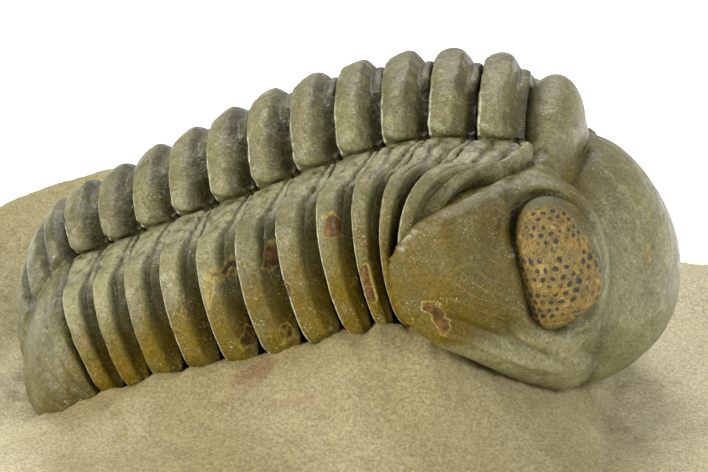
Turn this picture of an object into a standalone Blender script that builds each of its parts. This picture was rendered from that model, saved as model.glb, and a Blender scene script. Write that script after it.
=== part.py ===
# A semi-enrolled trilobite, resting nose-down on the piece of limestone that it was prepared from.
# All lengths are in millimetres until a mesh is made. X runs from tail to head, Z is up, and the
# animal is symmetric about the plane y = 0.
import bpy
import numpy as np

MM = 0.001
GAP = 0.34                  # clearance between neighbouring pieces
SEGMENTS = 11               # thoracic segments, each a sclerite of its own

# The bounding box of the stone, which also gives the part its origin at the middle of its base.
STONE_LOW = (-29.0, -21.0, -24.0)
STONE_HIGH = (27.0, 22.0)

# The trunk, read at stations counted in segments from the back of the head.
STATIONS = (0, 2, 4, 6, 8, 11)
CREST_X = (8.7, 3.9, -0.75, -5.05, -8.95, -14.35)
CREST_Z = (8.5, 8.9, 8.05, 6.25, 4.05, 1.05)
TILT_DEG = (-2, 4, 13, 17, 20, 33)              # lean of each cross-section
RING_HEIGHT = (1.75, 2.15, 2.5, 2.65, 2.15, 1.75)  # axial lobe above its side furrow
AXIS_HALF = (4.5, 4.5, 4.4, 4.25, 3.95, 3.2)
BEND_HALF = (7.0, 7.0, 7.0, 6.9, 6.6, 6.0)      # where the side of the body turns down
TRUNK_HALF = (9.8, 10.1, 10.25, 10.2, 10.1, 9.6)
TRUNK_DEPTH = (9.2, 9.6, 9.6, 9.2, 8.0, 7.0)  # crest to side tip
BEND_DROP = 0.55            # fall of the upper flank from furrow to bend
FLANK_TURN_DEG = 100.0
SWEEP_BACK = 1.15           # the flank bows tailwards, far more behind the head
SWEEP_FRONT = 4.4
SWEEP_REACH = 1.9
TIP_CURL = 1.2              # the tips turn headwards again
TIP_CURL_FRONT = 1.2
TIP_TAPER = 0.5             # how much a segment narrows by its tip
RING_SHARE = 0.42           # share of the half section that the ring takes
BEND_SHARE = 0.60
RING_RELIEF = 0.62
FLANK_RELIEF = 0.45
ROW_AT = (0.0, 0.05, 0.24, 0.36, 0.62, 0.90, 1.0)       # from the front edge of a segment to its back edge
RING_LIFT = (0.0, 0.30, 0.36, 0.90, 1.0, 0.85, 0.0)     # a low half ring in front, then the ring
FLANK_LIFT = (0.0, 0.25, 0.60, 0.85, 1.0, 0.80, 0.0)    # a facet in front, rising to the raised back
SECTION_POINTS = 25
BASE_SHARE = 0.90           # width of the underside as a share of the trunk's
MOST_HALF_GAP = 0.30        # no joint takes more of a segment than this
CUTTER_END = 5.0            # the head keeps clear of the trunk as far back as this station
CUTTER_ROWS = 7
CUTTER_SPREAD = 0.5
CUTTER_DROP = 3.0

# The tail shield closes the trunk down to a margin that lies on the stone.
TAIL_BACK = (-16.0, -7.2)
TAIL_CORNER = (-12.2, -6.2)
TAIL_BULGE = 1.35
TAIL_NARROWING = 2.0
TAIL_ROWS = 9
TAIL_GAP = 0.16             # clearance behind the last segment, counted in segments
TAIL_HEART = (-10.0, 0.0, -3.0)     # the bulge points away from here
TAIL_BASE = (0.93, 0.90)            # the underside as a share of the margin's length and width

# The head shield is a smooth union of egg shapes: x, y, z, three half-axes and a lean in degrees.
HEAD_MIDDLE = (8.6, 0.0, 0.5)
HEAD_EGGS = (
    (10.4, 0.0, -0.8, 5.9, 7.2, 5.6, 0.0),       # inflated front of the glabella
    (10.1, 0.0, 1.4, 3.1, 4.8, 3.5, -10.0),      # narrower back of the glabella
    (9.5, 0.0, 4.9, 1.5, 4.6, 3.2, -10.0),       # occipital ring
    (6.6, 5.2, 1.6, 4.3, 6.2, 4.3, 0.0),         # cheek
    (5.0, 9.9, 2.4, 2.4, 2.4, 2.7, -30.0),       # corner of the cheek
    (8.4, 4.5, -1.0, 4.6, 5.6, 4.0, -30.0),      # underside of the cheek
)
# Rounded rolls along a line of points (x, y, z), with their radius.
BACK_BORDER = ((9.0, 5.0, 6.2), (7.2, 8.0, 5.8), (5.2, 10.4, 5.2), (3.5, 11.7, 4.2), (3.0, 12.0, 3.0))
SIDE_BORDER = ((3.0, 12.0, 3.0), (3.6, 11.9, 1.0), (5.6, 11.3, -0.5), (8.2, 9.9, -2.1),
               (10.8, 7.6, -3.8), (12.3, 4.5, -4.5), (12.7, 0.0, -4.8))
BORDER_RADIUS = 0.75
HEAD_BLEND = 0.35
HEAD_POLE = (-0.75, 0.0, -0.66)     # the poles of its mesh lie below and behind, and in front
HEAD_RINGS = 32
HEAD_SPOKES = 38

# Each eye stands on a mound. The head is a little crushed, so those of its left side lie lower.
EYE_RIGHT = (10.35, -8.9, 2.3)
EYE_LEFT = (10.35, 8.6, 0.7)
EYE_HALF = (2.15, 1.75, 3.25)
EYE_LEAN_DEG = 11.0
MOUND_INWARD = 1.5
MOUND_BELOW = 0.3
MOUND_HALF = (2.5, 2.9, 3.9)
EYE_RINGS = 10
EYE_SPOKES = 16

# Height of the stone where the animal rests on it, from tail to head, then away from the animal.
REST_X = (-30.0, -16.5, -11.5, -8.7, -5.3, -2.4, 1.0, 4.8, 8.0, 10.8, 13.0, 17.0, 28.0)
REST_Z = (-6.4, -7.5, -6.5, -5.2, -4.1, -3.1, -1.7, -1.5, -3.1, -5.0, -6.9, -8.0, -8.8)
FAR_LEVEL = -6.9
FAR_SLOPE_X = -0.045
REST_HALF = 9.5
REST_FALL = 6.5
STONE_COLUMNS = 44
STONE_ROWS = 17
STONE_SIDE_ROWS = 4
STONE_HEART = (-1.5, 0.0)   # its rings are drawn about this point
SQUARENESS = 3.2            # power of the oblong outline; 2 would be an ellipse
TOP_REACH = 0.97            # the top's rim as a share of the outline
RIM_DROP = 1.2              # rounding of the rim
SIDE_INWARD = 0.10          # how far the sides draw in towards the base
SIDE_WAVE = 0.018           # hollows and ribs of the broken sides
MOUNDS = ((-12.0, 16.5, 4.0, 10.0, 4.5), (18.0, 15.0, 1.2, 7.0, 5.0))   # x, y, height and two reaches
WAVES = ((0.21, 0.13, 0.4, 0.34), (-0.16, 0.27, 1.7, 0.30), (0.43, 0.31, 2.9, 0.16),
         (-0.52, 0.38, 5.1, 0.13))
OUTLINE_WAVES = ((2, 0.5, 0.035), (3, 2.1, 0.045), (5, 4.0, 0.025), (9, 1.2, 0.012))


def along(values, station):
    """Smooth curve through values at STATIONS: a cubic between each pair, with finite-difference slopes."""
    knots = np.array(STATIONS, float)
    values = np.array(values, float)
    slopes = np.gradient(values, knots)
    cell = np.clip(np.searchsorted(knots, station, side="right") - 1, 0, len(knots) - 2)
    width = knots[cell + 1] - knots[cell]
    u = (station - knots[cell]) / width
    start = (1 + 2 * u) * (1 - u) ** 2 * values[cell] + u * (1 - u) ** 2 * width * slopes[cell]
    end = u * u * (3 - 2 * u) * values[cell + 1] - u * u * (1 - u) * width * slopes[cell + 1]
    return start + end


def stone_height(x, y):
    """Top of the stone: a saddle that meets the flanks, and away from them a wavy slope with two mounds."""
    beyond = np.maximum(np.abs(y) - REST_HALF, 0) / REST_FALL
    near = np.exp(-beyond * beyond)
    far = FAR_LEVEL + FAR_SLOPE_X * x
    top = far + (np.interp(x, REST_X, REST_Z) - far) * near
    for middle_x, middle_y, height, reach_x, reach_y in MOUNDS:
        top = top + height * np.exp(-(((x - middle_x) / reach_x) ** 2 + ((y - middle_y) / reach_y) ** 2))
    for kx, ky, phase, height in WAVES:
        top = top + height * (1 - near) * np.sin(kx * x + ky * y + phase)
    return top


def section(station, t):
    """Cross-section of the trunk: half width, fall from the crest, and how far the flank bows."""
    size = np.abs(t)
    half_axis, half_bend, half = (along(v, station) for v in (AXIS_HALF, BEND_HALF, TRUNK_HALF))
    ring, depth = along(RING_HEIGHT, station), along(TRUNK_DEPTH, station)
    turn = np.clip(size / RING_SHARE, 0, 1) * np.pi / 2
    upper = np.clip((size - RING_SHARE) / (BEND_SHARE - RING_SHARE), 0, 1)
    lower = np.clip((size - BEND_SHARE) / (1 - BEND_SHARE), 0, 1)
    bend = np.radians(FLANK_TURN_DEG) * lower
    width = half_axis * np.sin(turn) + (half_bend - half_axis) * upper + (half - half_bend) * np.sin(bend)
    flank = (1 - np.cos(bend)) / (1 - np.cos(np.radians(FLANK_TURN_DEG)))
    fall = ring * (1 - np.cos(turn)) + BEND_DROP * upper ** 2 + (depth - ring - BEND_DROP) * flank
    sweep = SWEEP_BACK + SWEEP_FRONT * np.exp(-((np.maximum(station, 0) / SWEEP_REACH) ** 1.5))
    curl = TIP_CURL * (1 - station / 9) + TIP_CURL_FRONT * np.exp(-station / 1.5)
    bow = -sweep * np.sin(bend) ** 0.8 + curl * lower ** 2.5
    return width * np.sign(t), fall, bow


def trunk_point(station, t, lift=0.0, spread=0.0):
    """Point of the trunk's outer surface, with its relief lifted off it and its flanks spread sideways."""
    width, fall, bow = section(station, t)
    lean = np.radians(along(TILT_DEG, station))
    fall = fall - lift * np.clip(1 - lower_share(t), 0, 1)
    x = along(CREST_X, station) + np.sin(lean) * fall + np.cos(lean) * bow
    z = along(CREST_Z, station) - np.cos(lean) * fall + np.sin(lean) * bow
    return np.stack([x, width + np.sign(t) * spread, z], -1)


def lower_share(t):
    """0 on top of the trunk, rising to 1 at the side tips."""
    return np.clip((np.abs(t) - BEND_SHARE) / (1 - BEND_SHARE), 0, 1)


def trunk_base(station, t):
    """Point of the trunk's underside, GAP above the stone, straight down its leaning cross-section."""
    lean = np.radians(along(TILT_DEG, station))
    y = BASE_SHARE * along(TRUNK_HALF, station) * t
    bow = section(station, t)[2]
    x = along(CREST_X, station) + 0 * t
    z = x
    for _ in range(4):
        z = stone_height(x, y) + GAP
        fall = (along(CREST_Z, station) + np.sin(lean) * bow - z) / np.cos(lean)
        x = along(CREST_X, station) + np.sin(lean) * fall + np.cos(lean) * bow
    return np.stack([x, y, z], -1)


def add_object(name, points, faces, colour, roughness):
    """One named mesh object from points in millimetres, moved so that the base's middle is the origin."""
    middle = [(low + high) / 2 for low, high in zip(STONE_LOW[:2], STONE_HIGH)]
    moved = (np.asarray(points) - (*middle, STONE_LOW[2])) * MM
    mesh = bpy.data.meshes.new(name)
    mesh.from_pydata(moved.tolist(), [], faces)
    mesh.update()
    mesh.shade_smooth()
    mesh.materials.append(surface(name, colour, roughness))
    obj = bpy.data.objects.new(name, mesh)
    bpy.context.scene.collection.objects.link(obj)
    return obj


def surface(name, colour, roughness):
    """A plain mineral surface."""
    material = bpy.data.materials.new(name)
    material.use_nodes = True
    shader = material.node_tree.nodes["Principled BSDF"]
    shader.inputs["Base Color"].default_value = (*colour, 1)
    shader.inputs["Roughness"].default_value = roughness
    shader.inputs["Metallic"].default_value = 0.0
    return material


SHELL = (0.085, 0.09, 0.06)
LENS_FIELD = (0.30, 0.19, 0.06)
LIMESTONE = (0.36, 0.28, 0.19)


def grid_faces(rows, columns, closed=False):
    """Quads between neighbouring rows of a grid, each row wrapping round if closed."""
    faces = []
    for r in range(rows - 1):
        for c in range(columns if closed else columns - 1):
            d = (c + 1) % columns
            faces.append((r * columns + c, r * columns + d, (r + 1) * columns + d, (r + 1) * columns + c))
    return faces


def trunk_slab(front, back, row_at, ring_lift, flank_lift, spread, floor_drop, taper):
    """Points and faces of a slice of the trunk from one station to another, closed down to its floor."""
    t = np.linspace(-1, 1, SECTION_POINTS)
    narrow = 1 - taper * lower_share(t) ** 3
    rows = []
    for row, ring, flank in zip(row_at, ring_lift, flank_lift):
        station = (front + back) / 2 + (row - 0.5) * (back - front) * narrow
        height = np.where(np.abs(t) < RING_SHARE, RING_RELIEF * ring, FLANK_RELIEF * flank)
        outward = (0.5 * height + spread) * lower_share(t)
        rows.append(trunk_point(station, t, lift=height + spread, spread=outward))
    for end in (-0.5, 0.5):
        station = (front + back) / 2 + end * (back - front) * narrow
        rows.append(trunk_base(station, t) - (0, 0, floor_drop))
    n, last = SECTION_POINTS, (len(row_at) - 1) * SECTION_POINTS
    low_front, low_back = last + n, last + 2 * n
    faces = grid_faces(len(row_at), n)
    for c in range(n - 1):
        faces.append((low_front + c, low_front + c + 1, c + 1, c))
        faces.append((last + c, last + c + 1, low_back + c + 1, low_back + c))
        faces.append((low_back + c, low_back + c + 1, low_front + c + 1, low_front + c))
    near = [r * n for r in range(len(row_at))]
    far = [r * n + n - 1 for r in reversed(range(len(row_at)))]
    faces.append((*near, low_back, low_front))
    faces.append((*far, low_front + n - 1, low_back + n - 1))
    return np.concatenate(rows), faces


def half_gap(station):
    """Half of GAP at each point of a joint, counted in segments: wider where the flanks crowd together."""
    t = np.linspace(-1, 1, SECTION_POINTS)
    station = max(station, 0.5)
    pitch = trunk_point(station + 0.5, t) - trunk_point(station - 0.5, t)
    along_joint = np.gradient(trunk_point(station, t), axis=0)
    along_joint /= np.linalg.norm(along_joint, axis=1, keepdims=True)
    across = pitch - (pitch * along_joint).sum(1, keepdims=True) * along_joint
    return np.minimum(GAP / 2 / np.linalg.norm(across, axis=1), MOST_HALF_GAP)


def make_segment(number):
    """One thoracic segment: its arched top with raised ring and flanks, closed down to the stone."""
    front = number + half_gap(number)
    back = number + 1 - half_gap(number + 1)
    points, faces = trunk_slab(front, back, ROW_AT, RING_LIFT, FLANK_LIFT, 0.0, 0.0, TIP_TAPER)
    return add_object(f"thorax_segment_{number + 1:02d}", points, faces, SHELL, 0.45)


def make_tail():
    """The tail shield: the last cross-section drawn down to a rounded margin, bulging on the way."""
    t = np.linspace(-1, 1, SECTION_POINTS)
    first = trunk_point(SEGMENTS + TAIL_GAP + 0 * t, t)
    swing = np.sign(t) * np.abs(t) ** TAIL_NARROWING * np.pi / 2
    reach = 1 - np.cos(swing)
    margin = np.stack([TAIL_BACK[0] + (TAIL_CORNER[0] - TAIL_BACK[0]) * reach,
                       TRUNK_HALF[-1] * np.sin(swing),
                       TAIL_BACK[1] + (TAIL_CORNER[1] - TAIL_BACK[1]) * reach ** 2], -1)
    margin[:, 2] = np.maximum(margin[:, 2], stone_height(margin[:, 0], margin[:, 1]) + GAP)
    rows = []
    for q in np.linspace(0, 1, TAIL_ROWS):
        point = first + (margin - first) * q
        away = point - TAIL_HEART
        away /= np.linalg.norm(away, axis=1, keepdims=True)
        rows.append(point + away * (TAIL_BULGE * np.sin(np.pi * q) ** 0.8 * (1 - np.abs(t) ** 6))[:, None])
    floor_front = trunk_base(SEGMENTS + TAIL_GAP + 0 * t, t)
    floor_back = margin * (*TAIL_BASE, 1)
    floor_back[:, 2] = stone_height(floor_back[:, 0], floor_back[:, 1]) + GAP
    points = np.concatenate(rows + [floor_back, floor_front])
    n = SECTION_POINTS
    faces = grid_faces(TAIL_ROWS + 2, n)
    for c in range(n - 1):
        faces.append(((TAIL_ROWS + 1) * n + c, (TAIL_ROWS + 1) * n + c + 1, c + 1, c))
    faces.append(tuple(r * n for r in range(TAIL_ROWS + 2)))
    faces.append(tuple(r * n + n - 1 for r in reversed(range(TAIL_ROWS + 2))))
    return add_object("pygidium", points, faces, SHELL, 0.45)


def egg_depth(p, egg):
    """How deep p lies inside an egg shape, in millimetres, negative outside."""
    middle, half, lean = np.array(egg[:3]), np.array(egg[3:6]), np.radians(egg[6])
    d = p - middle
    turned = np.stack([d[..., 0] * np.cos(lean) + d[..., 2] * np.sin(lean), d[..., 1],
                       d[..., 2] * np.cos(lean) - d[..., 0] * np.sin(lean)], -1)
    size = np.linalg.norm(turned / half, axis=-1)
    slope = np.linalg.norm(turned / half ** 2, axis=-1) + 1e-9
    return size * (1 - size) / slope


def roll_depth(p, line, radius):
    """How deep p lies inside a rounded roll along a line of points."""
    best = np.full(p.shape[:-1], -1e9)
    for a, b in zip(np.array(line[:-1], float), np.array(line[1:], float)):
        u = np.clip(((p - a) @ (b - a)) / ((b - a) @ (b - a)), 0, 1)
        best = np.maximum(best, radius - np.linalg.norm(p - a - u[..., None] * (b - a), axis=-1))
    return best


def head_depth(p):
    """How deep p lies inside the head shield: a soft maximum over its eggs and border rolls."""
    folded = np.stack([p[..., 0], np.abs(p[..., 1]), p[..., 2]], -1)
    parts = [egg_depth(folded, egg) for egg in HEAD_EGGS]
    for x, y, z in (EYE_RIGHT, EYE_LEFT):
        mound = (x, y - np.sign(y) * MOUND_INWARD, z - MOUND_BELOW, *MOUND_HALF, EYE_LEAN_DEG)
        parts.append(egg_depth(p, mound))
    parts += [roll_depth(folded, line, BORDER_RADIUS) for line in (BACK_BORDER, SIDE_BORDER)]
    parts = np.stack(parts) / HEAD_BLEND
    top = parts.max(0)
    return HEAD_BLEND * (top + np.log(np.exp(parts - top).sum(0)))


def ball_directions(rings, spokes, pole):
    """Unit directions on a ball: its first pole, rings of spokes, and its last pole."""
    latitude = np.pi * np.arange(1, rings) / rings
    around = 2 * np.pi * np.arange(spokes) / spokes
    pole = np.array(pole, float) / np.linalg.norm(pole)
    side = np.array([0.0, 1.0, 0.0])
    third = np.cross(pole, side)
    lat, lon = np.meshgrid(latitude, around, indexing="ij")
    body = (np.cos(lat)[..., None] * pole + (np.sin(lat) * np.cos(lon))[..., None] * side
            + (np.sin(lat) * np.sin(lon))[..., None] * third)
    return np.concatenate([pole[None], body.reshape(-1, 3), -pole[None]])


def ball_faces(rings, spokes):
    """Faces for ball_directions."""
    faces, last = [], (rings - 1) * spokes + 1
    for c in range(spokes):
        d = (c + 1) % spokes
        faces.append((0, 1 + c, 1 + d))
        faces.append((last, last - spokes + d, last - spokes + c))
    for r in range(rings - 2):
        for c in range(spokes):
            d = (c + 1) % spokes
            a, b = 1 + r * spokes, 1 + (r + 1) * spokes
            faces.append((a + c, b + c, b + d, a + d))
    return faces


def outermost(depth, middle, directions, reach=18.0, steps=72):
    """Distance along each direction to the outermost point where depth turns positive."""
    radii = np.linspace(reach, 0.5, steps)
    found = np.full(len(directions), radii[-1])
    for radius in radii[::-1]:
        found = np.where(depth(middle + directions * radius) > 0, radius, found)
    low, high = found, found + (reach - 0.5) / (steps - 1)
    for _ in range(18):
        half = (low + high) / 2
        inside = depth(middle + directions * half[:, None]) > 0
        low, high = np.where(inside, half, low), np.where(inside, high, half)
    return low


def rest_on_stone(points):
    """Flattens whatever would reach into the stone, GAP above it."""
    lifted = points.copy()
    lifted[:, 2] = np.maximum(points[:, 2], stone_height(points[:, 0], points[:, 1]) + GAP)
    return lifted


def cut(obj, cutter):
    """Takes the cutter's volume out of the object."""
    cutter.hide_render = True
    cutter.display_type = "WIRE"
    modifier = obj.modifiers.new("cut_" + cutter.name, "BOOLEAN")
    modifier.operation = "DIFFERENCE"
    modifier.object = cutter


def eye_shape(grow):
    """Egg of the eye, larger by grow all round."""
    directions = ball_directions(EYE_RINGS, EYE_SPOKES, (0, 0, 1))
    local = directions * (np.array(EYE_HALF) + grow)
    lean = np.radians(EYE_LEAN_DEG)
    x = local[:, 0] * np.cos(lean) - local[:, 2] * np.sin(lean)
    z = local[:, 0] * np.sin(lean) + local[:, 2] * np.cos(lean)
    return np.stack([x, local[:, 1], z], -1)


def make_head():
    """The head shield with its eye sockets, hollowed where the first segments tuck under the cheeks."""
    middle = np.array(HEAD_MIDDLE)
    directions = ball_directions(HEAD_RINGS, HEAD_SPOKES, HEAD_POLE)
    radii = outermost(head_depth, middle, directions)
    points = rest_on_stone(middle + directions * radii[:, None])
    head = add_object("cephalon", points, ball_faces(HEAD_RINGS, HEAD_SPOKES), SHELL, 0.45)
    cut(head, make_trunk_cutter())
    for eye_middle, name in ((EYE_RIGHT, "right"), (EYE_LEFT, "left")):
        faces = ball_faces(EYE_RINGS, EYE_SPOKES)
        socket = add_object("socket_" + name, eye_middle + eye_shape(GAP), faces, SHELL, 0.5)
        cut(head, socket)
        add_object("eye_" + name, eye_middle + eye_shape(0.0), faces, LENS_FIELD, 0.5)
    return head


def make_trunk_cutter():
    """Volume of the first segments with clearance, which the head keeps out of."""
    row_at = np.linspace(0, 1, CUTTER_ROWS)
    lift = np.ones(CUTTER_ROWS)
    points, faces = trunk_slab(-half_gap(0), CUTTER_END, row_at, lift, lift, CUTTER_SPREAD, CUTTER_DROP, 0.0)
    return add_object("trunk_cutter", points, faces, SHELL, 0.5)


def stone_outline(angle):
    """Outline of the stone seen from above, as a rounded, slightly ragged oblong that fills its box."""
    power = SQUARENESS
    square = (np.abs(np.cos(angle)) ** power + np.abs(np.sin(angle)) ** power) ** (-1 / power)
    for count, phase, size in OUTLINE_WAVES:
        square = square * (1 + size * np.sin(count * angle + phase))
    outline = np.stack([np.cos(angle) * square, np.sin(angle) * square], -1)
    low, high = outline.min(0), outline.max(0)
    return (outline - low) / (high - low)


def make_stone():
    """The limestone: a top that follows stone_height, broken sides that draw in, and a flat base."""
    angle = 2 * np.pi * np.arange(STONE_COLUMNS) / STONE_COLUMNS
    low, high = np.array(STONE_LOW[:2]), np.array(STONE_HIGH)
    edge = low + stone_outline(angle) * (high - low)
    middle = np.array(STONE_HEART)
    rings = []
    for share in np.linspace(0, 1, STONE_ROWS)[1:]:
        spot = middle + (edge - middle) * share * TOP_REACH
        drop = RIM_DROP * share ** 14
        rings.append(np.column_stack([spot, stone_height(spot[:, 0], spot[:, 1]) - drop]))
    rim = rings[-1][:, 2]
    for step in range(1, STONE_SIDE_ROWS + 1):
        share = step / STONE_SIDE_ROWS
        inward = 1.0 - SIDE_INWARD * share ** 1.5 + SIDE_WAVE * np.sin(7 * angle + 2.3 * step)
        inward = np.minimum(inward, 1.0) if step > 1 else np.ones_like(angle)
        spot = middle + (edge - middle) * inward[:, None]
        height = rim + (STONE_LOW[2] - rim) * share
        rings.append(np.column_stack([spot, height]))
    top = np.array([[*middle, stone_height(*middle)]])
    points = np.concatenate([top, *rings])
    n = STONE_COLUMNS
    faces = [(0, 1 + c, 1 + (c + 1) % n) for c in range(n)]
    for r in range(len(rings) - 1):
        for c in range(n):
            d = (c + 1) % n
            faces.append((1 + r * n + c, 1 + (r + 1) * n + c, 1 + (r + 1) * n + d, 1 + r * n + d))
    faces.append(tuple(range(len(points) - 1, len(points) - 1 - n, -1)))
    return add_object("matrix", points, faces, LIMESTONE, 0.9)


for old in list(bpy.data.objects):
    bpy.data.objects.remove(old)
make_stone()
make_head()
for index in range(SEGMENTS):
    make_segment(index)
make_tail()
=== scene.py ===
import bpy
import numpy as np
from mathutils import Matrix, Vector


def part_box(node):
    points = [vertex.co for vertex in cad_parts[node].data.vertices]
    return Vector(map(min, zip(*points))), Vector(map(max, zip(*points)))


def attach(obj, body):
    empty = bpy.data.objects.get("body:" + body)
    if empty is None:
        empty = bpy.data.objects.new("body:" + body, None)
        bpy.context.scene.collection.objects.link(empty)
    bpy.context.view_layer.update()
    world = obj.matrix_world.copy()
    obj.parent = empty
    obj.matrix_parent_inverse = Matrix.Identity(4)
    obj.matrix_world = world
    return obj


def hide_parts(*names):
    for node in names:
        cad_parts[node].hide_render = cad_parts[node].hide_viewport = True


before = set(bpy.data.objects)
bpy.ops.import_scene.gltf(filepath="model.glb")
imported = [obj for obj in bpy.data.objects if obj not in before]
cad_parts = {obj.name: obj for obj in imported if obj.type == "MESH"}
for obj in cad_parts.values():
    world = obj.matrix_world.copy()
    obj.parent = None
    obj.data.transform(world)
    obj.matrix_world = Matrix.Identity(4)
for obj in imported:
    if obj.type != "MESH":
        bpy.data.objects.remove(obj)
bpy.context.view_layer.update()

mm = 0.001

# Shapes are worked out in the animal's own millimetres, with its mirror plane at y = 0. put() moves them to
# the frame.
stoneSize = dict(low=(-29.0, -21.0, -24.0), high=(27.0, 22.0))
home = np.array(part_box("matrix")[0]) - np.array(stoneSize["low"]) * mm


def put(points):
    return np.asarray(points) * mm + home


print("frame loaded,", len(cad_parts), "nodes")


# Noise from -1 to 1: random numbers at the corners of a lattice, eased between.
def latticeNoise(p, cell, seed):
    q = np.asarray(p) / cell
    base = np.floor(q).astype(np.int64)
    u = q - base
    u = u * u * (3 - 2 * u)
    total = 0
    for corner in range(8):
        step = np.array([corner & 1, corner >> 1 & 1, corner >> 2 & 1])
        x, y, z = (base[..., i] + step[i] for i in range(3))
        mix = (x * 73856093) ^ (y * 19349663) ^ (z * 83492791) ^ (seed * 2654435761)
        mix = (mix ^ (mix >> 13)) * 1274126177
        mix = (mix ^ (mix >> 16)) & 0xFFFFFF
        weight = np.prod(np.where(step == 1, u, 1 - u), axis=-1)
        total = total + weight * (mix / 0x7FFFFF - 1)
    return total


# Layers of that noise, each with half the cell and a share of the height of the one before.
def noise(p, cell, layers, seed, share=0.5):
    total, height = 0, 1.0
    for layer in range(layers):
        total = total + height * latticeNoise(p, cell / 2 ** layer, seed + layer)
        height *= share
    return total


# Keeps a value from 0 to 1.
def limit(value):
    return np.clip(value, 0, 1)


# 0 at the first value and 1 at the second, eased between by 3u^2 - 2u^3.
def ease(low, high, value):
    u = limit((value - low) / (high - low))
    return u * u * (3 - 2 * u)


# 1 from the second value to the third, eased to 0 at the first and the fourth.
def window(value, rise, full, fall, gone):
    return ease(rise, full, value) * (1 - ease(fall, gone, value))


# A bell exp(-(distance / half)^2).
def bell(distance, half):
    return np.exp(-((distance / half) ** 2))


# Unit normal of a grid of points: the cross product of its two finite differences.
def gridNormals(points):
    normal = np.cross(*np.gradient(points, axis=(0, 1)))
    return normal / (np.linalg.norm(normal, axis=-1, keepdims=True) + 1e-12)


def makePiece(name, points, faces, material, nodes, marks=None):
    mesh = bpy.data.meshes.new(name)
    mesh.from_pydata(put(points.reshape(-1, 3)).tolist(), [], faces)
    mesh.update()
    mesh.shade_smooth()
    mesh.materials.append(material)
    for mark, values in (marks or {}).items():  # numbers that the material reads, one for each point
        layer = mesh.attributes.new(mark, "FLOAT", "POINT")
        layer.data.foreach_set("value", np.ascontiguousarray(values, np.float32).ravel())
    piece = bpy.data.objects.new(name, mesh)
    bpy.context.scene.collection.objects.link(piece)
    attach(piece, "root")
    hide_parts(*nodes)
    print("made", name, len(faces), "faces")


# Quads between the rows of a grid, as one array; each row, and the last row to the first, may wrap round.
def gridQuads(rows, columns, wrapRows=False, wrapColumns=False):
    r, c = np.meshgrid(np.arange(rows if wrapRows else rows - 1),
                       np.arange(columns if wrapColumns else columns - 1), indexing="ij")
    below, right = (r + 1) % rows, (c + 1) % columns
    quads = [r * columns + c, r * columns + right, below * columns + right, below * columns + c]
    return np.stack(quads, -1).reshape(-1, 4)


# Closes a grid whose rows wrap round into a tube: its quads, and one face over each end.
def tubeFaces(rows, columns):
    near = [row * columns for row in range(rows)]
    far = [row * columns + columns - 1 for row in reversed(range(rows))]
    return gridQuads(rows, columns, wrapRows=True).tolist() + [near, far]


# Repeats the first and last rows, for the under side.
def withEnds(values):
    return np.concatenate([values[:1], values, values[-1:]])


# Sets a node's inputs: each to a value, or linked to the output of another node.
def setInputs(tree, node, inputs):
    for key, value in inputs.items():
        if isinstance(value, bpy.types.NodeSocket):
            tree.links.new(value, node.inputs[key])
        else:
            node.inputs[key].default_value = value


# Adds a node of a material with its inputs and settings, and gives one of its outputs back.
def addNode(tree, kind, inputs=None, output=0, **settings):
    node = tree.nodes.new("ShaderNode" + kind)
    for key, value in settings.items():
        setattr(node, key, value)
    setInputs(tree, node, inputs or {})
    return node.outputs[output]


def hexColour(text):
    channels = [int(text[i:i + 2], 16) / 255 for i in (1, 3, 5)]
    return (*[c / 12.92 if c <= 0.04045 else ((c + 0.055) / 1.055) ** 2.4 for c in channels], 1.0)


def startMaterial(name):
    material = bpy.data.materials.new(name)
    material.use_nodes = True
    tree = material.node_tree
    place = addNode(tree, "TexCoord", output="Object")
    place = addNode(tree, "Mapping", {"Vector": place, "Scale": (1000, 1000, 1000)})  # in millimetres
    return material, tree, place


# A value eased from 0 at one level to 1 at another.
def easedValue(tree, value, low, high):
    return addNode(tree, "MapRange", {"Value": value, "From Min": low, "From Max": high}, clamp=True,
                   interpolation_type="SMOOTHSTEP")


# Patches of a given size in millimetres: noise, eased from 0 to 1 between two of its levels.
def patches(tree, place, size, low, high, detail=4.0, rough=0.55):
    cells = addNode(tree, "TexNoise", {"Vector": place, "Scale": 1 / size, "Detail": detail,
                                       "Roughness": rough})
    return easedValue(tree, cells, low, high)


# Lays a colour over another. Its share is the product of a strength, a mark of the points, patches and other
# shares, as far as the layer names them. A colour is a hex text or the output of a node.
def layOver(tree, place, under, colour, strength=1.0, mark=None, shares=(), **patch):
    shares = list(shares)
    if mark:
        shares.append(addNode(tree, "Attribute", output="Fac", attribute_name=mark))
    if patch:
        shares.append(patches(tree, place, **patch))
    for share in shares:
        strength = addNode(tree, "Math", {0: strength, 1: share}, operation="MULTIPLY")
    under, colour = (hexColour(c) if isinstance(c, str) else c for c in (under, colour))
    return addNode(tree, "Mix", {0: strength, 6: under, 7: colour}, 2, data_type="RGBA")


# Darkens and lightens a colour by fine patches.
def grained(tree, place, colour, darkest, lightest, **patch):
    fine = patches(tree, place, rough=0.8, **patch)
    shade = addNode(tree, "MapRange", {"Value": fine, "To Min": darkest, "To Max": lightest})
    grey = addNode(tree, "CombineColor", {0: shade, 1: shade, 2: shade})
    return addNode(tree, "Mix", {0: 1.0, 6: colour, 7: grey}, 2, data_type="RGBA", blend_type="MULTIPLY")


# Sets the shader of a material: its colour, its surface, and a bump from a height.
def setShader(tree, colour, height, bump, surface):
    bump = addNode(tree, "Bump", {"Height": height, **bump})
    setInputs(tree, tree.nodes["Principled BSDF"], {"Base Color": colour, "Normal": bump, **surface})


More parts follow.
